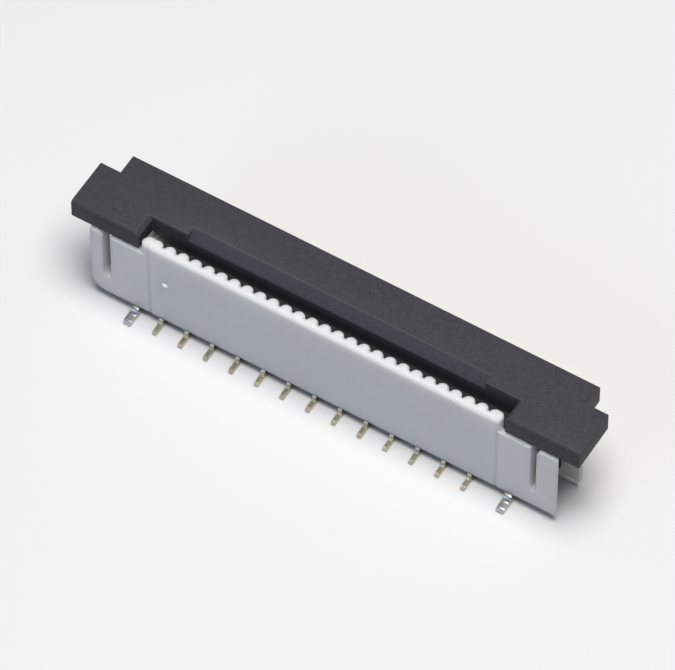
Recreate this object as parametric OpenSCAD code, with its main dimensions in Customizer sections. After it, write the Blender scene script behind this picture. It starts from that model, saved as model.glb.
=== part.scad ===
// Upright surface-mount connector for a flat flexible cable, with a push-down slider.
// X runs along the row of contacts, Z is up, and the front is the toothed side, towards -Y.
// The origin is on the board, in the middle of the connector's length and depth.

/* [Contacts] */
// Distance between neighbouring contacts
pitch = 1.0; // [0.9:0.05:1.2]
// Number of contacts: odd ones have their tail at the front, even ones at the rear
contact_count = 26; // [8:2:48]
// Thickness of the strip that the contacts are stamped from
contact_thick = 0.30; // [0.24:0.01:0.32]
// Reach of the solder tails from the middle plane
tail_reach = 3.6; // [3.4:0.05:3.9]
// Height of a solder tail's foot
foot_h = 0.38; // [0.25:0.01:0.42]

/* [Housing] */
// Depth of the housing from its front face to its rear face
housing_depth = 5.2; // [5:0.05:5.6]
// Height of the housing's underside above the board
stand_off = 0.82; // [0.8:0.02:1]
// Height of the deck that the slider closes onto
deck_z = 7.26; // [7.2:0.01:7.27]
// Height of the ledge in front of the deck at both ends
ledge_z = 7.15; // [6.9:0.05:7.2]
// Height of the toothed front wall
wall_z = 8.3; // [8:0.05:8.6]
// Distance from the cable's edge to the +X end of the toothed wall
right_wall_x = 0.1; // [0.1:0.05:0.2]
// Distance from the cable's edge to the -X end of the toothed wall
left_wall_x = 0.5; // [0.1:0.05:0.5]
// Thickness of the front wall from its face to the tips of its ribs
wall_t = 0.9; // [0.85:0.01:0.95]
// Width of the notches between the ribs' heads, above the contacts
notch_w = 0.14; // [0.1:0.02:0.34]
// Width of the grooves and floor slots that hold the contacts
groove_w = 0.34; // [0.33:0.01:0.4]
// Height of the floor under the cable
floor_z = 1.86; // [1.8:0.02:1.9]

/* [End wings] */
// Distance from the cable's edge to the outer end of a wing
wing_reach = 4.5; // [4.2:0.05:4.8]
// Distance from the cable's edge to the slit of the +X wing
right_slit_x = 2.48; // [2.3:0.02:2.8]
// Width of the slit of the +X wing
right_slit_w = 0.47; // [0.4:0.01:0.7]
// Distance from the cable's edge to the slit of the -X wing
left_slit_x = 2.92; // [2.3:0.02:3]
// Width of the slit of the -X wing
left_slit_w = 0.66; // [0.4:0.01:0.7]
// Height of the slits' lower ends
slit_z = 2.4; // [2:0.1:3]
// Thickness of the front wall of a wing beside its slit
fin_t = 0.95; // [0.7:0.05:1]
// Thickness of that wall at its thin outer edge
fin_edge_t = 0.2; // [0.15:0.01:0.3]
// Radius of the lower corner that marks the first contact's end
mark_r = 1.1; // [0.6:0.1:1.4]

/* [Slider] */
// Height of the slider's top when it is closed
slider_z = 8.9; // [8.7:0.05:9.2]
// Thickness of the slider's plate
plate_t = 1.6; // [1.5:0.01:1.6]
// Length of the ear that overhangs each wing
ear_overhang = 1.55; // [1:0.05:2]
// Distance from the cable's edge to the inner end of the +X ear
right_ear_x = 0.42; // [0.4:0.02:0.9]
// Distance from the cable's edge to the inner end of the -X ear
left_ear_x = 0.74; // [0.74:0.02:0.9]
// Width of the bevel along the inner end of each ear
ear_bevel = 0.3; // [0.1:0.02:0.5]
// Front edge of the ears, from the middle plane
ear_front = 2.45; // [2.3:0.01:2.5]
// Rear edge of the plate, from the middle plane
plate_rear = 2.88; // [2.7:0.02:3]
// Width of the mouth for the cable, from the rib tips to the slider's face
mouth_w = 0.98; // [0.9:0.01:1.05]
// Width of the bevel that leads the cable into the mouth
lead_w = 0.72; // [0.4:0.02:0.8]
// Travel of the slider from closed to open
travel = 1.8; // [1.5:0.1:1.9]

/* [Fitting nails] */
// Thickness of the strip that the nails are stamped from
nail_thick = 0.55; // [0.4:0.01:0.6]
// Reach of the nails' feet from the middle plane
nail_reach = 3.85; // [3.6:0.05:4]

/* [Hidden] */
$fn = 48;
over = 0.1;                     // how far a cutter runs past the face that it cuts
run = 0.07;                     // running clearance between the slider and the housing

function contact_name(i) = str(i < 10 ? "contact_0" : "contact_", i);

// Half lengths along X, all measured from half the width of the cable
cable_half = pitch * (contact_count + 1) / 2;
cavity_half = cable_half + 0.1;
tongue_half = cable_half - 0.05;
mouth_half = cable_half + 0.72;
right_wall_end = cable_half + right_wall_x;
left_wall_end = cable_half + left_wall_x;
sink_x = cable_half - 0.08;
right_ear_end = cable_half + right_ear_x;
left_ear_end = cable_half + left_ear_x;
lead_half = cable_half - 2.1;
right_block_x = cable_half + right_slit_x;
left_block_x = cable_half + left_slit_x;
wing_outer = cable_half + wing_reach;
ear_outer = wing_outer + ear_overhang;
nail_x = cable_half + 1;

// Housing, across its depth
front_y = -housing_depth / 2;
rear_y = housing_depth / 2;
rib_r = (pitch - groove_w) / 2;
head_r = (pitch - notch_w) / 2;
rib_tip_y = front_y + wall_t;
rib_root_y = rib_tip_y - head_r;
cavity_rear_y = 1.9;
groove_rear_y = 2.15;
fin_inner_y = front_y + fin_t;
fin_taper_x = 0.5;
rear_fin_y = 0.55;
rear_fin_t = 0.4;
sink_w = 0.4;
sink_depth = 0.04;
edge_r = 0.3;
wing_r = 0.42;
rib_chamfer = 0.12;
mouth_z = 6.4;
mouth_slope_h = 0.6;

// Latch: the catch is on the wing and the lug is on the slider's leg
catch_z = 5.6;
catch_t = 0.2;
catch_h = 0.6;
lug_top_z = catch_z - travel - 0.1;
lug_h = 0.8;
lug_l = 0.6;
lug_t = 0.38;
lug_slope = 0.2;

// Slider
plate_z = slider_z - plate_t;
mouth_y = rib_tip_y + mouth_w;
step_y = 1.3;
tongue_front_y = rib_tip_y + 0.47;
tongue_rear_y = 1.28;
tongue_z = 2.5;
leg_t = 0.4;
leg_z = 1.2;
leg_flange_t = 0.2;
leg_flange_w = 0.25;

// Contacts
base_z = 1.0;
base_top_z = 1.76;
beam_root_w = 0.55;
beam_tip_z = 6.55;
head_z = beam_tip_z + 0.3;
bump_z = 5.6;
bump_r = 0.32;
post_root_w = 0.62;
post_top_z = 6.2;
post_tip_w = 0.36;
fork_r = 0.3;
strip_w = 0.4;
riser_y = 2.72;
riser_w = 0.47;
neck_w = 0.8;
neck_y = 1.9;

// Fitting nails
nail_pocket_w = nail_thick + 0.04;
nail_blade_y = 1.9;
nail_top_z = 4.2;
nail_notch_w = 1.5;
nail_notch_z = 3.0;
nail_riser_y = 3.02;
nail_foot_h = 0.45;

// Box between two X, two Y and two Z limits
module block(x0, x1, y0, y1, z0, z1)
    translate([x0, y0, z0])
        cube([x1 - x0, y1 - y0, z1 - z0]);

// Rectangle between two limits on each axis of an outline
module area(a0, a1, b0, b1)
    translate([a0, b0])
        square([a1 - a0, b1 - b0]);

// Outline in the YZ plane, made solid from one X to another
module along_x(x0, x1)
    translate([x0, 0, 0])
        rotate([90, 0, 90])
            linear_extrude(x1 - x0)
                children();

// Outline in the XZ plane, made solid from one Y to another
module along_y(y0, y1)
    translate([0, y1, 0])
        rotate([90, 0, 0])
            linear_extrude(y1 - y0)
                children();

// What is left of a square corner outside its arc: cut away it rounds an edge, added it fills one.
// The signs point from the corner towards the middle of the arc.
module corner(a, b, sign_a, sign_b, r)
    difference() {
        translate([a + sign_a * (r - over) / 2, b + sign_b * (r - over) / 2])
            square(r + over, center = true);
        translate([a + sign_a * r, b + sign_b * r])
            circle(r);
    }

// The same shape at both ends of the connector
module both_ends() {
    children();
    mirror([1, 0, 0])
        children();
}

function contact_x(i) = pitch * (i - (contact_count + 1) / 2);

// Upper part of the front wall, with its outer top edge rounded
module wall_outline()
    difference() {
        area(front_y, rib_root_y, deck_z - over, wall_z);
        corner(front_y, wall_z, 1, -1, edge_r);
    }

// One of the upright ribs between the grooves, round towards the cable, with a wider head
module rib(x)
    translate([x, rib_root_y, 0]) {
        translate([0, 0, floor_z - over])
            cylinder(r = rib_r, h = head_z - floor_z + 2 * over);
        translate([0, 0, head_z])
            cylinder(r = head_r, h = wall_z - rib_chamfer - head_z);
        translate([0, 0, wall_z - rib_chamfer])
            cylinder(r1 = head_r, r2 = head_r - rib_chamfer, h = rib_chamfer);
    }

module ribs()
    for (i = [0 : contact_count])
        rib(contact_x(i) + pitch / 2);

// Wide rib at the +X end of the front wall, with the same head as the others at its outer corner
module end_rib(x) {
    rib(x - head_r);
    block(
        cable_half - pitch / 2, cavity_half + over, rib_root_y - over, rib_tip_y,
        floor_z - over, mouth_z - mouth_slope_h
    );
    block(
        cable_half - pitch / 2, x - head_r, rib_root_y - over, rib_tip_y,
        floor_z - over, wall_z - rib_chamfer
    );
    block(
        cable_half - pitch / 2, x - head_r, rib_root_y - over, rib_tip_y - rib_chamfer,
        floor_z - over, wall_z
    );
    block(x - head_r, x, rib_root_y - over, rib_root_y, floor_z - over, wall_z - rib_chamfer);
}

// Shallow hollow down the front, over the end of the cavity, where the thick block shrank
module sink_mark() {
    r = (sink_w * sink_w / 4 + sink_depth * sink_depth) / (2 * sink_depth);
    translate([sink_x, front_y + sink_depth - r, stand_off - over])
        cylinder(r = r, h = ledge_z - stand_off);
}

// Front wall of a wing seen from above, thinner towards its end
module fin_plan(slit_x, slit_w)
    polygon([
        [slit_x - over, front_y],
        [wing_outer, front_y],
        [wing_outer, front_y + fin_edge_t],
        [slit_x + slit_w + fin_taper_x, fin_inner_y],
        [slit_x - over, fin_inner_y]
    ]);

// Catch inside the wing, flat below and sloped above
module wing_catch(x)
    along_x(x + 0.1, x + fin_taper_x)
        polygon([
            [fin_inner_y - over, catch_z],
            [fin_inner_y + catch_t, catch_z],
            [fin_inner_y + catch_t, catch_z + catch_h / 4],
            [fin_inner_y, catch_z + catch_h],
            [fin_inner_y - over, catch_z + catch_h]
        ]);

// Wing at the +X end: a front wall freed by a slit, a catch and a rear guide wall
module wing(slit_x, slit_w) {
    difference() {
        translate([0, 0, stand_off])
            linear_extrude(ledge_z - stand_off)
                fin_plan(slit_x, slit_w);
        along_y(front_y - over, fin_inner_y + over) {
            area(slit_x, slit_x + slit_w, slit_z + slit_w / 2, ledge_z + over);
            translate([slit_x + slit_w / 2, slit_z + slit_w / 2])
                circle(d = slit_w);
            corner(slit_x + slit_w, ledge_z, 1, -1, wing_r);
        }
    }
    wing_catch(slit_x + slit_w);
    block(slit_x - over, wing_outer, rear_fin_y, rear_fin_y + rear_fin_t, stand_off, deck_z);
}

// Mouth of the cavity, which slopes outwards at both ends to lead the cable in
module mouth_outline()
    polygon([
        [-mouth_half, deck_z + over],
        [-mouth_half, mouth_z],
        [-cavity_half, mouth_z - mouth_slope_h],
        [cavity_half, mouth_z - mouth_slope_h],
        [mouth_half, mouth_z],
        [mouth_half, deck_z + over]
    ]);

// Slots for one contact: through the floor and up the inside of the rear wall
module contact_slot(x) {
    x0 = x - groove_w / 2;
    x1 = x + groove_w / 2;
    block(x0, x1, rib_root_y, groove_rear_y, stand_off - over, floor_z + over);
    block(x0, x1, cavity_rear_y - over, groove_rear_y, floor_z, deck_z + over);
}

module housing()
    color("ghostwhite") {
        difference() {
            union() {
                block(-left_block_x, right_block_x, front_y, rear_y, stand_off, deck_z);
                along_x(-left_wall_end, right_wall_end)
                    wall_outline();
                wing(right_block_x, right_slit_w);
                mirror([1, 0, 0])
                    wing(left_block_x, left_slit_w);
            }
            block(-cavity_half, cavity_half, rib_root_y, cavity_rear_y, floor_z, wall_z + over);
            along_y(rib_root_y, cavity_rear_y)
                mouth_outline();
            for (i = [1 : contact_count])
                contact_slot(contact_x(i));
            both_ends() {
                block(
                    nail_x - nail_pocket_w / 2, nail_x + nail_pocket_w / 2,
                    -nail_blade_y, nail_blade_y, stand_off - over, nail_top_z
                );
                sink_mark();
            }
            block(right_wall_end, wing_outer, front_y - over, fin_inner_y, ledge_z, deck_z + over);
            block(-wing_outer, -left_wall_end, front_y - over, fin_inner_y, ledge_z, deck_z + over);
            along_y(front_y - over, fin_inner_y + over)
                corner(-wing_outer, stand_off, 1, 1, mark_r);
            translate([0, 0, ledge_z])
                linear_extrude(wall_z - ledge_z + over) {
                    corner(right_wall_end, front_y, -1, 1, edge_r);
                    corner(-left_wall_end, front_y, 1, 1, edge_r);
                }
        }
        ribs();
        end_rib(right_wall_end);
        mirror([1, 0, 0])
            end_rib(left_wall_end);
    }

// Bar of the slider over the cavity, with the bevelled lead-in for the cable
module bar_outline(lead)
    polygon([
        [mouth_y, plate_z],
        [mouth_y, slider_z - lead],
        [mouth_y + lead, slider_z],
        [plate_rear, slider_z],
        [plate_rear, plate_z]
    ]);

// Tongue that presses the cable against the contacts
module tongue_outline()
    difference() {
        polygon([
            [mouth_y, plate_z + over],
            [mouth_y, bump_z + 1.1],
            [tongue_front_y, bump_z + 0.5],
            [tongue_front_y, bump_z - 0.5],
            [tongue_front_y + 0.72, tongue_z + 0.4],
            [tongue_front_y + 0.72, tongue_z],
            [tongue_rear_y - 0.4, tongue_z],
            [tongue_rear_y, tongue_z + 1],
            [tongue_rear_y, plate_z + over]
        ]);
        corner(tongue_front_y + 0.72, tongue_z, 1, 1, 0.25);
    }

// Leg that runs down inside a wing, with a stiffening flange and the latch lug
module leg(block_x) {
    leg_x = block_x + 0.1;
    leg_front_y = fin_inner_y + run;
    leg_rear_y = rear_fin_y - run;
    difference() {
        along_x(leg_x, leg_x + leg_t)
            area(leg_front_y, leg_rear_y, leg_z, plate_z + over);
        along_x(leg_x - over, leg_x + leg_t + over) {
            corner(leg_front_y, leg_z, 1, 1, 0.5);
            corner(leg_rear_y, leg_z, -1, 1, 0.3);
        }
    }
    block(
        leg_x, leg_x + leg_t + leg_flange_t,
        leg_rear_y - leg_flange_w, leg_rear_y, leg_z + 0.5, plate_z + over
    );
    along_x(leg_x + leg_t - over, leg_x + leg_t + lug_l)
        polygon([
            [leg_front_y + lug_slope, lug_top_z - lug_h],
            [leg_front_y, lug_top_z - lug_h / 2],
            [leg_front_y, lug_top_z],
            [leg_front_y + lug_t, lug_top_z],
            [leg_front_y + lug_t, lug_top_z - lug_h]
        ]);
}

// Ear over the +X wing, with a bevel along its inner end and a rounded front edge
module ear(x) {
    difference() {
        along_y(-ear_front, mouth_y)
            polygon([
                [x, plate_z],
                [x, slider_z - ear_bevel],
                [x + ear_bevel, slider_z],
                [ear_outer, slider_z],
                [ear_outer, plate_z]
            ]);
        along_x(x - over, ear_outer + over)
            corner(-ear_front, slider_z, 1, -1, edge_r);
    }
    block(x, ear_outer, mouth_y, step_y, plate_z, slider_z);
}

module slider()
    color([0.16, 0.16, 0.17]) {
        along_x(-lead_half, lead_half)
            bar_outline(lead_w);
        both_ends() {
            along_x(lead_half, wing_outer)
                bar_outline(0);
        }
        ear(right_ear_end);
        mirror([1, 0, 0])
            ear(left_ear_end);
        leg(right_block_x);
        mirror([1, 0, 0])
            leg(left_block_x);
        along_x(-tongue_half, tongue_half)
            tongue_outline();
    }

// Solder tail towards +Y: an arm under the housing, a riser and a foot, with rounded bends
module tail_outline(root, riser, reach, foot, bend) {
    arm_top = stand_off - 0.02;
    heel = riser - riser_w;
    difference() {
        union() {
            area(root, riser, arm_top - strip_w, arm_top);
            area(heel, riser, 0, arm_top);
            area(heel, reach, 0, foot);
            corner(riser, foot, 1, 1, bend / 2);
        }
        corner(riser, arm_top, -1, -1, bend);
        corner(heel, 0, 1, 1, bend);
        corner(reach, foot, -1, -1, foot / 2);
        corner(reach, 0, -1, 1, foot / 5);
    }
}

// Spring beam on the front side of the fork, with the bump that touches the cable
module beam_outline() {
    back_y = rib_root_y + 0.05;
    tip_r = 0.13;
    polygon([
        [back_y, base_top_z - over],
        [back_y + beam_root_w, base_top_z - over],
        [back_y + beam_root_w - 0.2, bump_z],
        [back_y + 2 * tip_r, beam_tip_z],
        [back_y, beam_tip_z]
    ]);
    translate([back_y + tip_r, beam_tip_z])
        circle(tip_r);
    translate([back_y + bump_r, bump_z])
        circle(bump_r);
}

// Stiff post on the rear side of the fork, which backs the slider's tongue
module post_outline() {
    back_y = groove_rear_y - 0.05;
    polygon([
        [back_y, base_top_z - over],
        [back_y, post_top_z],
        [back_y - post_tip_w, post_top_z],
        [back_y - post_root_w, base_top_z - over]
    ]);
    translate([back_y - post_tip_w / 2, post_top_z])
        circle(d = post_tip_w);
}

// Side view of a contact; the side is -1 for a front tail and 1 for a rear tail
module contact_outline(side) {
    beam_inner_y = rib_root_y + 0.05 + beam_root_w;
    post_inner_y = groove_rear_y - 0.05 - post_root_w;
    area(rib_root_y, groove_rear_y, base_z, base_top_z);
    corner(beam_inner_y, base_top_z, 1, 1, fork_r);
    corner(post_inner_y, base_top_z, -1, 1, fork_r);
    beam_outline();
    post_outline();
    mirror([side < 0 ? 1 : 0, 0]) {
        area(neck_y - neck_w, neck_y, stand_off - 0.02 - strip_w, base_z + over);
        tail_outline(neck_y - neck_w, riser_y, tail_reach, foot_h, 0.28);
    }
}

module contact(i)
    color("darkkhaki")
        along_x(contact_x(i) - contact_thick / 2, contact_x(i) + contact_thick / 2)
            contact_outline(i % 2 == 1 ? -1 : 1);

// Side view of a fitting nail: a forked blade in the housing and a foot at the front and the rear
module nail_outline()
    difference() {
        union() {
            area(-nail_blade_y, nail_blade_y, stand_off - 0.02 - strip_w, nail_top_z);
            for (side = [0, 1])
                mirror([side, 0])
                    tail_outline(nail_blade_y - over, nail_riser_y, nail_reach, nail_foot_h, 0.36);
        }
        area(-nail_notch_w / 2, nail_notch_w / 2, nail_notch_z, nail_top_z + over);
    }

module fitting_nail(side)
    color("silver")
        along_x(side * nail_x - nail_thick / 2, side * nail_x + nail_thick / 2)
            nail_outline();

housing();
slider();
fitting_nail(-1);  // fitting_nail_left
fitting_nail(1);  // fitting_nail_right
for (i = [1 : contact_count])
    contact(i);
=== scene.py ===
# %% [markdown]
# # An upright connector for a flat cable
# A pale moulded housing stands on the board on its solder tails. A black slider closes over it and
# clamps the cable. The solids come from the CAD model, and this notebook gives them their looks:
# softened edges, moulding grain, plated metal, and light.

# %% The CAD model
import math

import bmesh
import bpy
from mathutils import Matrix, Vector


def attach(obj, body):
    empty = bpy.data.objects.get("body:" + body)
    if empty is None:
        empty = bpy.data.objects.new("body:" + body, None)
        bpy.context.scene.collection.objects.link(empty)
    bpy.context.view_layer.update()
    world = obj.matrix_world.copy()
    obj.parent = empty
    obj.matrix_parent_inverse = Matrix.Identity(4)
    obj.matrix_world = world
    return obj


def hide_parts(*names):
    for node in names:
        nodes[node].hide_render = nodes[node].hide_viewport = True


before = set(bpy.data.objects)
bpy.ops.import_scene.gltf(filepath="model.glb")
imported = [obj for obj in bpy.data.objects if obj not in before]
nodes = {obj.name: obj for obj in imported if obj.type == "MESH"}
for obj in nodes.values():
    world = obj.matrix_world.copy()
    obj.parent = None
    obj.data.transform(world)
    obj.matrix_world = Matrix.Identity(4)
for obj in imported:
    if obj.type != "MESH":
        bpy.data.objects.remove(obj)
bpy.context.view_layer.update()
MM = 0.001

# %% [markdown]
# ## Camera
# A product picture of something 39 mm long is taken with a long lens from half a metre away, so the
# lines of the connector stay nearly parallel. The camera stands to the right of the front, high above
# the board, and looks down at the toothed wall and the slider's top.

# %% Camera
VIEW_AZIMUTH = math.radians(31.44)
VIEW_ELEVATION = math.radians(54.8)
VIEW_DISTANCE = 490.0 * MM
AIM = Vector((-1.48, 1.91, 1.57)) * MM
LENS_MM = 392.3

back = Vector((
    math.sin(VIEW_AZIMUTH) * math.cos(VIEW_ELEVATION),
    -math.cos(VIEW_AZIMUTH) * math.cos(VIEW_ELEVATION),
    math.sin(VIEW_ELEVATION),
))
camera_data = bpy.data.cameras.new("camera")
camera_data.lens = LENS_MM
camera_data.clip_start = 10 * MM
camera_data.clip_end = 10.0
camera = bpy.data.objects.new("camera", camera_data)
camera.location = AIM + back * VIEW_DISTANCE
camera.rotation_mode = "QUATERNION"
camera.rotation_quaternion = (-back).to_track_quat("-Z", "Y")
bpy.context.scene.collection.objects.link(camera)
bpy.context.scene.camera = camera
print("camera stands at, mm:", [round(c / MM) for c in camera.location], "lens, mm:", LENS_MM)

# %% [markdown]
# ## Floor
# The connector stands on a pale, plain floor, a single large square.

# %% Floor
def new_object(name, mesh):
    made = bpy.data.objects.new(name, mesh)
    bpy.context.scene.collection.objects.link(made)
    return made


FLOOR_HALF = 1.2
floor_mesh = bpy.data.meshes.new("floor")
floor_mesh.from_pydata(
    [(x * FLOOR_HALF, y * FLOOR_HALF, 0.0) for x, y in ((-1, -1), (1, -1), (1, 1), (-1, 1))],
    [],
    [(0, 1, 2, 3)],
)
floor = new_object("floor", floor_mesh)
print("floor, m:", 2 * FLOOR_HALF, "square")

# %% [markdown]
# ## Light
# Round area lamps give soft shadows, like a studio's soft boxes. A sun lamp would be simpler, but its
# shadows are hard. The key lamp hangs almost straight above, so the tops of the teeth and their rounded
# rim are the brightest places. A weaker, cooler lamp fills the front. The world adds an even base.

# %% Lamps and world
def add_lamp(name, place, size, power, colour):
    lamp_data = bpy.data.lights.new(name, "AREA")
    lamp_data.shape = "DISK"
    lamp_data.size = size
    lamp_data.energy = power
    lamp_data.color = colour
    lamp = bpy.data.objects.new(name, lamp_data)
    lamp.location = place
    lamp.rotation_mode = "QUATERNION"
    lamp.rotation_quaternion = (-Vector(place)).to_track_quat("-Z", "Y")
    bpy.context.scene.collection.objects.link(lamp)
    return lamp


key_lamp = add_lamp("key_lamp", (0.06, -0.03, 0.49), 0.30, 2.8, (1.0, 0.985, 0.95))
fill_lamp = add_lamp("fill_lamp", (-0.20, -0.45, 0.22), 0.32, 0.60, (0.52, 0.68, 1.0))

world = bpy.data.worlds.new("studio")
world.use_nodes = True
world.node_tree.nodes["Background"].inputs["Color"].default_value = (0.86, 0.92, 1.0, 1.0)
world.node_tree.nodes["Background"].inputs["Strength"].default_value = 0.10
bpy.context.scene.world = world
bpy.context.scene.view_settings.view_transform = "Standard"
for lamp in (key_lamp, fill_lamp):
    distance_mm = round(lamp.location.length / MM)
    print(lamp.name, "power, W:", round(lamp.data.energy, 2), "distance, mm:", distance_mm)

# %% [markdown]
# ## Shader groups
# Moulded plastic and stamped strip share two effects: a fine grain and a slow drift of tone. Copying
# the nodes into each material would work, but a group is built once and placed with its own values.
# These helpers add nodes and make groups.

# %% Helpers for node trees
def add_node(tree, kind, **settings):
    node = tree.nodes.new(kind)
    for setting, value in settings.items():
        setattr(node, setting, value)
    return node


def new_group(name, inputs, outputs):
    group = bpy.data.node_groups.new(name, "ShaderNodeTree")
    for label, kind, value in inputs:
        socket = group.interface.new_socket(label, in_out="INPUT", socket_type=kind)
        if value is not None:
            socket.default_value = value
    for label, kind in outputs:
        group.interface.new_socket(label, in_out="OUTPUT", socket_type=kind)
    return group, group.nodes.new("NodeGroupInput"), group.nodes.new("NodeGroupOutput")


# %% [markdown]
# ## Grain
# The mould's spark-eroded wall leaves a print of tiny craters on plastic, and the rolling mill leaves
# fine lines on strip. Noise alone looks like cloud, so a third of it comes from Voronoi cells, which
# give separate pits. The stretch turns the same grain into the lines of rolled metal.

# %% Grain group
def make_grain_group():
    group, enter, leave = new_group(
        "Surface grain",
        [("Grain size mm", "NodeSocketFloat", 0.1), ("Stretch", "NodeSocketVector", (1.0, 1.0, 1.0))],
        [("Height", "NodeSocketFloat"), ("Speckle", "NodeSocketFloat")],
    )
    link = group.links.new
    place = add_node(group, "ShaderNodeTexCoord")
    stretch = add_node(group, "ShaderNodeVectorMath", operation="MULTIPLY")
    per_metre = add_node(group, "ShaderNodeMath", operation="DIVIDE")
    per_metre.inputs[0].default_value = 1.0 / MM
    coarse = add_node(group, "ShaderNodeTexNoise")
    coarse.inputs["Detail"].default_value = 4.0
    coarse.inputs["Roughness"].default_value = 0.65
    pits = add_node(group, "ShaderNodeTexVoronoi", feature="F1")
    blend = add_node(group, "ShaderNodeMix", data_type="FLOAT")
    blend.inputs["Factor"].default_value = 0.35
    sharpen = add_node(group, "ShaderNodeMapRange")
    sharpen.inputs["From Min"].default_value = 0.38
    sharpen.inputs["From Max"].default_value = 0.66
    link(place.outputs["Object"], stretch.inputs[0])
    link(enter.outputs["Stretch"], stretch.inputs[1])
    link(enter.outputs["Grain size mm"], per_metre.inputs[1])
    for texture in (coarse, pits):
        link(stretch.outputs["Vector"], texture.inputs["Vector"])
        link(per_metre.outputs["Value"], texture.inputs["Scale"])
    link(coarse.outputs["Fac"], blend.inputs["A"])
    link(pits.outputs["Distance"], blend.inputs["B"])
    link(blend.outputs["Result"], leave.inputs["Height"])
    link(coarse.outputs["Fac"], sharpen.inputs["Value"])
    link(sharpen.outputs["Result"], leave.inputs["Speckle"])
    return group


grain_group = make_grain_group()
print(grain_group.name, "nodes:", len(grain_group.nodes))


# %% [markdown]
# ## Drift of tone
# Moulded nylon is never of one exact colour: fibres and flow leave patches a few millimetres wide. A
# scan of real plastic would bring that, but a soft noise needs no file and has no seams.

# %% Drift group
def make_drift_group():
    group, enter, leave = new_group(
        "Slow drift",
        [("Patch size mm", "NodeSocketFloat", 3.0), ("Stretch", "NodeSocketVector", (1.0, 1.0, 1.0))],
        [("Drift", "NodeSocketFloat")],
    )
    link = group.links.new
    place = add_node(group, "ShaderNodeTexCoord")
    stretch = add_node(group, "ShaderNodeVectorMath", operation="MULTIPLY")
    per_metre = add_node(group, "ShaderNodeMath", operation="DIVIDE")
    per_metre.inputs[0].default_value = 1.0 / MM
    clouds = add_node(group, "ShaderNodeTexNoise")
    clouds.inputs["Detail"].default_value = 2.0
    spread = add_node(group, "ShaderNodeMapRange")
    spread.inputs["From Min"].default_value = 0.3
    spread.inputs["From Max"].default_value = 0.7
    link(place.outputs["Object"], stretch.inputs[0])
    link(enter.outputs["Stretch"], stretch.inputs[1])
    link(stretch.outputs["Vector"], clouds.inputs["Vector"])
    link(enter.outputs["Patch size mm"], per_metre.inputs[1])
    link(per_metre.outputs["Value"], clouds.inputs["Scale"])
    link(clouds.outputs["Fac"], spread.inputs["Value"])
    link(spread.outputs["Result"], leave.inputs["Drift"])
    return group


drift_group = make_drift_group()
print(drift_group.name, "nodes:", len(drift_group.nodes))


# %% [markdown]
# ## Helpers for the finishes
# Each finish starts from the plain shader. The groups give factors between 0 and 1, and these helpers
# turn a factor into a colour, a number or a bump, so every finish below reads as a short list.

# %% A material with grain and drift
def new_finish(name):
    finish = bpy.data.materials.new(name)
    finish.use_nodes = True
    return finish, finish.node_tree, finish.node_tree.nodes["Principled BSDF"]


def place_group(tree, group, **values):
    node = add_node(tree, "ShaderNodeGroup", node_tree=group)
    for label, value in values.items():
        node.inputs[label.replace("_", " ")].default_value = value
    return node


def mix_colours(tree, factor, low, high):
    """A colour between two, by a factor that varies over the surface. Either colour may be a socket."""
    mix = add_node(tree, "ShaderNodeMix", data_type="RGBA")
    tree.links.new(factor, mix.inputs["Factor"])
    for socket, colour in (("A", low), ("B", high)):
        target = [s for s in mix.inputs if s.name == socket and s.type == "RGBA"][0]
        if hasattr(colour, "links"):
            tree.links.new(colour, target)
        else:
            target.default_value = (*colour, 1.0)
    return [s for s in mix.outputs if s.type == "RGBA"][0]


def spread_values(tree, factor, low, high):
    """A number between two, by a factor that varies over the surface."""
    spread = add_node(tree, "ShaderNodeMapRange")
    spread.inputs["To Min"].default_value = low
    spread.inputs["To Max"].default_value = high
    tree.links.new(factor, spread.inputs["Value"])
    return spread.outputs["Result"]


def bump(tree, height, depth_mm):
    node = add_node(tree, "ShaderNodeBump")
    node.inputs["Strength"].default_value = 1.0
    node.inputs["Distance"].default_value = depth_mm * MM
    tree.links.new(height, node.inputs["Height"])
    return node.outputs["Normal"]


def read_mask(tree, name):
    node = add_node(tree, "ShaderNodeAttribute", attribute_name=name)
    return node.outputs["Fac"]


# %% [markdown]
# ## Undyed nylon
# The housing is pale nylon, a little translucent, so light that falls on the teeth glows a short way
# down the wall. A plain diffuse surface would look like chalk, so part of the light travels under the
# surface. Along the two shallow sink marks of the front face the colour is painted darker: painted shade
# of their dents.

# %% Housing nylon
NYLON_IOR = 1.53
GLOW_REACH_MM = 1.4
BAND_PLACE_MM = 13.42
BAND_HALF_MM = 0.25
FRONT_FACE_MM = -2.3


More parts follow.
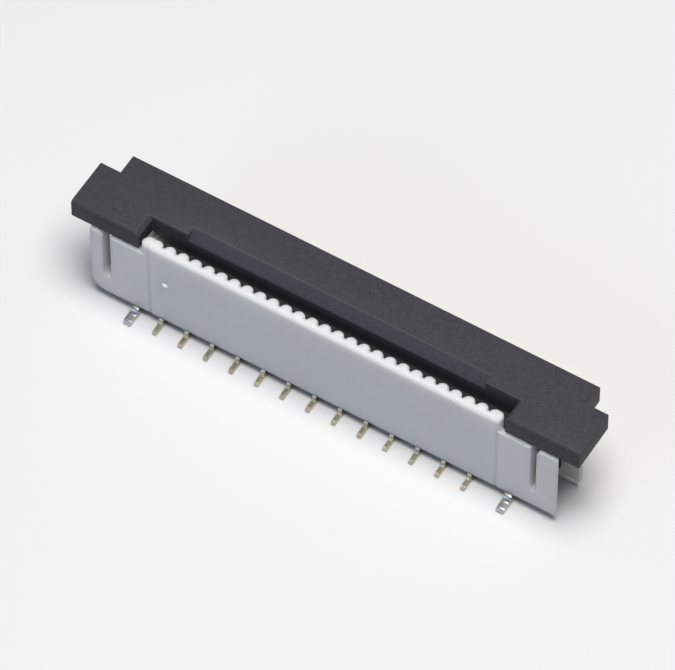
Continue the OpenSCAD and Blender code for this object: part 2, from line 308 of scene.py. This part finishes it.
def sink_shade_mask(tree):
    """1 along the two upright sink marks of the front face, carried on up to the rim, where their shade
    is painted, and 0 elsewhere.
    """
    place = add_node(tree, "ShaderNodeTexCoord")
    axes = add_node(tree, "ShaderNodeSeparateXYZ")
    tree.links.new(place.outputs["Object"], axes.inputs["Vector"])
    from_middle = add_node(tree, "ShaderNodeMath", operation="ABSOLUTE")
    tree.links.new(axes.outputs["X"], from_middle.inputs[0])
    offset = add_node(tree, "ShaderNodeMath", operation="SUBTRACT")
    offset.inputs[1].default_value = BAND_PLACE_MM * MM
    tree.links.new(from_middle.outputs["Value"], offset.inputs[0])
    distance = add_node(tree, "ShaderNodeMath", operation="ABSOLUTE")
    tree.links.new(offset.outputs["Value"], distance.inputs[0])
    near = add_node(tree, "ShaderNodeMapRange")
    near.interpolation_type = "SMOOTHSTEP"
    near.inputs["From Min"].default_value = 0.0
    near.inputs["From Max"].default_value = BAND_HALF_MM * MM
    near.inputs["To Min"].default_value = 1.0
    near.inputs["To Max"].default_value = 0.0
    tree.links.new(distance.outputs["Value"], near.inputs["Value"])
    in_front = add_node(tree, "ShaderNodeMath", operation="LESS_THAN")
    in_front.inputs[1].default_value = FRONT_FACE_MM * MM
    tree.links.new(axes.outputs["Y"], in_front.inputs[0])
    both = add_node(tree, "ShaderNodeMath", operation="MULTIPLY")
    tree.links.new(near.outputs["Result"], both.inputs[0])
    tree.links.new(in_front.outputs["Value"], both.inputs[1])
    return both.outputs["Value"]


def make_nylon():
    finish, tree, shader = new_finish("natural_nylon")
    grain = place_group(tree, grain_group, Grain_size_mm=0.09)
    drift = place_group(tree, drift_group, Patch_size_mm=4.0, Stretch=(0.5, 1.0, 1.0))
    base = mix_colours(tree, drift.outputs["Drift"], (0.79, 0.785, 0.755), (0.83, 0.825, 0.80))
    # painted shade: the sink marks are painted darker (0.70) to show the shade in their dents
    with_painted_sink_shade = mix_colours(tree, sink_shade_mask(tree), base, (0.70, 0.70, 0.69))
    tree.links.new(with_painted_sink_shade, shader.inputs["Base Color"])
    roughness = spread_values(tree, grain.outputs["Speckle"], 0.42, 0.52)
    tree.links.new(roughness, shader.inputs["Roughness"])
    tree.links.new(bump(tree, grain.outputs["Height"], 0.004), shader.inputs["Normal"])
    shader.inputs["Subsurface Weight"].default_value = 1.0
    shader.inputs["Subsurface Radius"].default_value = (1.0, 0.95, 0.85)
    shader.inputs["Subsurface Scale"].default_value = GLOW_REACH_MM * MM
    shader.inputs["IOR"].default_value = NYLON_IOR
    return finish


nylon = make_nylon()
print(nylon.name, "nodes:", len(nylon.node_tree.nodes))


# %% [markdown]
# ## Nylon of the gate mark
# The button is glossier than the wall, and its colour is painted whiter and a little blue: a painted
# highlight of the light it catches. It has its own finish, because the half of the button that lies in
# the wall would darken light that travels under the surface.

# %% Gate nylon
def make_gate_nylon_painted_highlight():
    finish, tree, shader = new_finish("gate_nylon_painted_highlight")
    grain = place_group(tree, grain_group, Grain_size_mm=0.05)
    # painted highlight: the whiter, bluish colour stands in for the light the button catches
    base = mix_colours(tree, grain.outputs["Speckle"], (0.86, 0.86, 0.90), (0.93, 0.93, 0.97))
    tree.links.new(base, shader.inputs["Base Color"])
    roughness = spread_values(tree, grain.outputs["Speckle"], 0.30, 0.42)
    tree.links.new(roughness, shader.inputs["Roughness"])
    tree.links.new(bump(tree, grain.outputs["Height"], 0.004), shader.inputs["Normal"])
    shader.inputs["IOR"].default_value = NYLON_IOR
    return finish


gate_nylon_painted_highlight = make_gate_nylon_painted_highlight()
print(gate_nylon_painted_highlight.name, "nodes:", len(gate_nylon_painted_highlight.node_tree.nodes))


# %% [markdown]
# ## Black nylon
# The slider is black glass-filled nylon with a spark-eroded grain. Pure black would hide the grain,
# so the colour is a very dark grey with lighter specks of fibre. Its edges, which the "edge" attribute
# of the softened copy marks, are painted lighter: handling wear and a painted edge highlight. It mirrors
# much less than ordinary plastic does, for which the level would be 0.5: this keeps the pale floor out of
# its upright faces.

# %% Slider nylon
BLACK_MIRROR_LEVEL = 0.10


def make_black_nylon():
    finish, tree, shader = new_finish("black_nylon")
    grain = place_group(tree, grain_group, Grain_size_mm=0.14)
    drift = place_group(tree, drift_group, Patch_size_mm=5.0, Stretch=(0.4, 1.0, 1.0))
    body = mix_colours(tree, drift.outputs["Drift"], (0.042, 0.042, 0.050), (0.051, 0.051, 0.060))
    speckled = mix_colours(tree, grain.outputs["Speckle"], body, (0.063, 0.063, 0.074))
    edge = read_mask(tree, "edge")
    # wear and painted highlight: the rounded edges are painted lighter (0.068)
    wear_and_painted_edge_highlight = mix_colours(tree, edge, speckled, (0.068, 0.068, 0.078))
    tree.links.new(wear_and_painted_edge_highlight, shader.inputs["Base Color"])
    roughness = spread_values(tree, grain.outputs["Speckle"], 0.46, 0.54)
    tree.links.new(roughness, shader.inputs["Roughness"])
    tree.links.new(bump(tree, grain.outputs["Height"], 0.012), shader.inputs["Normal"])
    shader.inputs["IOR"].default_value = NYLON_IOR
    shader.inputs["Specular IOR Level"].default_value = BLACK_MIRROR_LEVEL
    return finish


black_nylon = make_black_nylon()
print(black_nylon.name, "nodes:", len(black_nylon.node_tree.nodes))


# %% [markdown]
# ## Tin plate on bronze
# Contacts and nails are stamped from plated strip. The press cuts through the plating, so the cut
# edges show warmer metal. The strip lies in planes across the row, so faces that look along X are
# plated and the others are cut: the normal tells them apart without any marks on the mesh.

# %% Plated strip
def make_plating(name, face, cut, tone_spread):
    """Plated faces turn to the sides, and cut edges, warmer, turn along the strip."""
    finish, tree, shader = new_finish(name)
    grain = place_group(tree, grain_group, Grain_size_mm=0.06, Stretch=(1.0, 1.0, 0.25))
    place = add_node(tree, "ShaderNodeNewGeometry")
    axes = add_node(tree, "ShaderNodeSeparateXYZ")
    sideways = add_node(tree, "ShaderNodeMath", operation="ABSOLUTE")
    tree.links.new(place.outputs["Normal"], axes.inputs["Vector"])
    tree.links.new(axes.outputs["X"], sideways.inputs[0])
    metal = mix_colours(tree, sideways.outputs["Value"], cut, face)
    tone = read_mask(tree, "tone")
    shade = spread_values(tree, tone, 1.0 - tone_spread, 1.0)
    toned = add_node(tree, "ShaderNodeVectorMath", operation="SCALE")
    tree.links.new(metal, toned.inputs[0])
    tree.links.new(shade, toned.inputs["Scale"])
    tree.links.new(toned.outputs["Vector"], shader.inputs["Base Color"])
    roughness = spread_values(tree, grain.outputs["Speckle"], 0.24, 0.40)
    tree.links.new(roughness, shader.inputs["Roughness"])
    tree.links.new(bump(tree, grain.outputs["Height"], 0.003), shader.inputs["Normal"])
    shader.inputs["Metallic"].default_value = 1.0
    return finish


contact_plating = make_plating("contact_plating", (0.52, 0.49, 0.42), (0.52, 0.45, 0.32), 0.15)
nail_plating = make_plating("nail_plating", (0.46, 0.48, 0.48), (0.44, 0.44, 0.42), 0.0)
print(contact_plating.name, "and", nail_plating.name, "nodes:", len(nail_plating.node_tree.nodes))


# %% [markdown]
# ## Finish of the floor
# The paper is middle grey for the light that bounces on to the object, so the undersides stay dark
# and calm. Camera, glossy and transmitted rays see a paler paper, and the shadow stays on both.

# %% Floor finish
def make_floor_finish():
    finish, tree, shader = new_finish("pale_floor")
    ray = add_node(tree, "ShaderNodeLightPath")
    seen = ray.outputs["Is Camera Ray"]
    for kind in ("Is Glossy Ray", "Is Transmission Ray"):
        either = add_node(tree, "ShaderNodeMath", operation="MAXIMUM")
        tree.links.new(seen, either.inputs[0])
        tree.links.new(ray.outputs[kind], either.inputs[1])
        seen = either.outputs["Value"]
    paper = mix_colours(tree, seen, (0.30, 0.30, 0.31), (0.75, 0.75, 0.75))
    tree.links.new(paper, shader.inputs["Base Color"])
    shader.inputs["Roughness"].default_value = 0.9
    shader.inputs["Specular IOR Level"].default_value = 0.1
    return finish


floor_mesh.materials.append(make_floor_finish())
print("finishes:", [finish.name for finish in bpy.data.materials if finish.use_nodes])

# %% [markdown]
# ## Softened edges
# A moulded or stamped edge is never perfectly sharp: it has a radius of a few hundredths of a
# millimetre, which catches the light. The CAD solid is sharp, so a copy of it is merged, its flat faces
# are joined, and a Bevel modifier rounds the edges. The middle of each rounded strip is marked with
# an "edge" attribute, which the black finish reads as the place of wear and of a painted edge highlight.

# %% Softening helper
MERGE_MM = 0.0002
FLAT_DEGREES = 0.5
ROUNDED_FROM_DEGREES = 30.0
SHARP_FROM_DEGREES = 20.0


def soften(name, node, radius_mm, segments=3):
    """A copy of a CAD node with rounded edges and an edge mask."""
    mesh = nodes[node].data.copy()
    mesh.name = name
    mesh.materials.clear()
    shape = bmesh.new()
    shape.from_mesh(mesh)
    bmesh.ops.remove_doubles(shape, verts=shape.verts, dist=MERGE_MM * MM)
    bmesh.ops.dissolve_limit(
        shape, angle_limit=math.radians(FLAT_DEGREES), verts=shape.verts, edges=shape.edges
    )
    shape.to_mesh(mesh)
    shape.free()
    rough = new_object(name, mesh)
    rounding = rough.modifiers.new("rounding", "BEVEL")
    rounding.width = radius_mm * MM
    rounding.segments = segments
    rounding.limit_method = "ANGLE"
    rounding.angle_limit = math.radians(ROUNDED_FROM_DEGREES)
    rounding.material = 1
    rounding.use_clamp_overlap = True
    mesh.materials.append(None)
    mesh.materials.append(None)
    done = bpy.data.meshes.new_from_object(rough.evaluated_get(bpy.context.evaluated_depsgraph_get()))
    rough.modifiers.clear()
    rough.data = done
    bpy.data.meshes.remove(mesh)
    mark_edges(done)
    return rough


def mark_edges(mesh):
    """Gives 1 to the points inside a rounded strip and 0 to those of the flat faces."""
    flat_points = set()
    for face in mesh.polygons:
        if face.material_index == 0:
            flat_points.update(face.vertices)
    mask = mesh.attributes.new("edge", "FLOAT", "POINT")
    mask.data.foreach_set("value", [0.0 if i in flat_points else 1.0 for i in range(len(mesh.vertices))])
    mesh.polygons.foreach_set("material_index", [0] * len(mesh.polygons))
    mesh.materials.clear()
    mesh.polygons.foreach_set("use_smooth", [True] * len(mesh.polygons))
    mesh.set_sharp_from_angle(angle=math.radians(SHARP_FROM_DEGREES))


# %% [markdown]
# ## Slider
# One moulding: a long plate with an ear at each end, a tongue that wedges the cable and two legs with
# latch lugs. It is the softened copy of the CAD slider, with edges of 0.10 mm, and it rides the body
# that slides up and down.

# %% Slider
SLIDER_EDGE_MM = 0.10
slider = soften("slider_moulding", "slider", SLIDER_EDGE_MM)
slider.data.materials.append(black_nylon)
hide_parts("slider")
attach(slider, "lock")
print("slider triangles:", sum(len(f.vertices) - 2 for f in slider.data.polygons))

# %% [markdown]
# ## A row of equal pieces
# The contacts are cut from one strip with one tool, so all with a front tail are alike, and so are all
# with a rear tail. Copying thirteen objects would work, but a Geometry Nodes row keeps the count and
# the spacing as named inputs. Each copy also gets a number between 0 and 1, its "tone", because the
# strip leaves the plating bath with small differences from contact to contact.

# %% Row tree
TONE_SEED = 7


def make_row_tree():
    tree = bpy.data.node_groups.new("Row along X", "GeometryNodeTree")
    for label, kind in (
        ("Piece", "NodeSocketGeometry"),
        ("Count", "NodeSocketInt"),
        ("Spacing", "NodeSocketFloat"),
        ("Finish", "NodeSocketMaterial"),
    ):
        tree.interface.new_socket(label, in_out="INPUT", socket_type=kind)
    tree.interface.new_socket("Row", in_out="OUTPUT", socket_type="NodeSocketGeometry")
    link = tree.links.new
    enter = tree.nodes.new("NodeGroupInput")
    leave = tree.nodes.new("NodeGroupOutput")
    step = add_node(tree, "ShaderNodeCombineXYZ")
    places = add_node(tree, "GeometryNodeMeshLine", mode="OFFSET")
    copies = add_node(tree, "GeometryNodeInstanceOnPoints")
    dice = add_node(tree, "FunctionNodeRandomValue", data_type="FLOAT")
    dice.inputs["Seed"].default_value = TONE_SEED
    tone = add_node(tree, "GeometryNodeStoreNamedAttribute", data_type="FLOAT", domain="INSTANCE")
    tone.inputs["Name"].default_value = "tone"
    solid = add_node(tree, "GeometryNodeRealizeInstances")
    plate = add_node(tree, "GeometryNodeSetMaterial")
    link(enter.outputs["Spacing"], step.inputs["X"])
    link(enter.outputs["Count"], places.inputs["Count"])
    link(step.outputs["Vector"], places.inputs["Offset"])
    link(places.outputs["Mesh"], copies.inputs["Points"])
    link(enter.outputs["Piece"], copies.inputs["Instance"])
    link(copies.outputs["Instances"], tone.inputs["Geometry"])
    random_number = [s for s in dice.outputs if s.type == "VALUE"][0]
    tone_value = [s for s in tone.inputs if s.name == "Value" and s.type == "VALUE"][0]
    link(random_number, tone_value)
    link(tone.outputs["Geometry"], solid.inputs["Geometry"])
    link(solid.outputs["Geometry"], plate.inputs["Geometry"])
    link(enter.outputs["Finish"], plate.inputs["Material"])
    link(plate.outputs["Geometry"], leave.inputs["Row"])
    return tree


row_tree = make_row_tree()


# %% [markdown]
# ## From a row to a plain mesh
# The modifier is given its piece, count, spacing and finish, evaluated once, and removed. What stays
# is an ordinary mesh, so the row can be handed on like any other piece.

# %% Laying out a row
def lay_row(piece, count, spacing_mm, finish):
    """Repeats a piece along X and leaves one plain mesh, with its finish and its tones."""
    row = piece.modifiers.new("row", "NODES")
    row.node_group = row_tree
    wanted = {"Count": count, "Spacing": spacing_mm * MM, "Finish": finish}
    for item in row_tree.interface.items_tree:
        if item.in_out == "INPUT" and item.name in wanted:
            row[item.identifier] = wanted[item.name]
    done = bpy.data.meshes.new_from_object(piece.evaluated_get(bpy.context.evaluated_depsgraph_get()))
    piece.modifiers.clear()
    single = piece.data
    piece.data = done
    bpy.data.meshes.remove(single)
    print(piece.name, "copies:", count, "triangles:", sum(len(f.vertices) - 2 for f in done.polygons))


# %% [markdown]
# ## Contacts
# Twenty-six fork contacts stand side by side, 1 mm apart. Their solder tails leave the housing in
# turn at the front and at the rear, so there are two rows of thirteen, each 2 mm apart. Thin strip
# has small radii: 0.05 mm.

# %% Contact rows
PITCH_MM = 1.0
CONTACTS = 26
STRIP_EDGE_MM = 0.05
for row_name, first in (("contacts_front_row", 1), ("contacts_rear_row", 2)):
    contact_row = soften(row_name, "contact_%02d" % first, STRIP_EDGE_MM, segments=2)
    lay_row(contact_row, CONTACTS // 2, 2 * PITCH_MM, contact_plating)
    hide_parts(*["contact_%02d" % i for i in range(first, CONTACTS + 1, 2)])
    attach(contact_row, "base")

# %% [markdown]
# ## Fitting nails
# A nail at each end is soldered to the board and takes the force of the slider off the contacts. The
# two are alike, three pitches further apart than the contacts, so the same row lays them out.

# %% Fitting nails
NAIL_SPACING_MM = (CONTACTS + 3) * PITCH_MM
NAIL_EDGE_MM = 0.12
nails = soften("fitting_nails", "fitting_nail_left", NAIL_EDGE_MM, segments=4)
lay_row(nails, 2, NAIL_SPACING_MM, nail_plating)
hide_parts("fitting_nail_left", "fitting_nail_right")
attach(nails, "base")
print("nails apart, mm:", NAIL_SPACING_MM)

# %% [markdown]
# ## Housing
# The housing keeps the CAD solid, whose ribs and edges are already round where a mould makes them so.
# A softened copy would round its other edges too. It is left out, because a bevel on the thin walls
# round the cavity hasn't been tried.

# %% Housing
housing = nodes["housing"]
housing.data.materials.clear()
housing.data.materials.append(nylon)
print("housing triangles:", sum(len(f.vertices) - 2 for f in housing.data.polygons))

# %% [markdown]
# ## Gate mark
# A small bright button stands near the first contact. It is taken as the place where a gate broke off,
# through which the melt entered the mould. A cylinder would have a hard rim, so it is a sphere
# squashed flat against the wall.

# %% Gate mark
GATE_PLACE_MM = (-12.15, -2.6, 4.78)
GATE_SIZE_MM = (0.24, 0.16, 0.24)
gate_shape = bmesh.new()
bmesh.ops.create_uvsphere(gate_shape, u_segments=24, v_segments=12, radius=1.0)
for point in gate_shape.verts:
    scaled = Vector([part * size for part, size in zip(point.co, GATE_SIZE_MM)])
    point.co = (Vector(GATE_PLACE_MM) + scaled) * MM
bmesh.ops.recalc_face_normals(gate_shape, faces=gate_shape.faces)
gate_mesh = bpy.data.meshes.new("gate_mark")
gate_shape.to_mesh(gate_mesh)
gate_shape.free()
gate_mesh.polygons.foreach_set("use_smooth", [True] * len(gate_mesh.polygons))
gate_mark = new_object("gate_mark", gate_mesh)
gate_mesh.materials.append(gate_nylon_painted_highlight)
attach(gate_mark, "base")
print("gate mark, mm:", GATE_SIZE_MM)
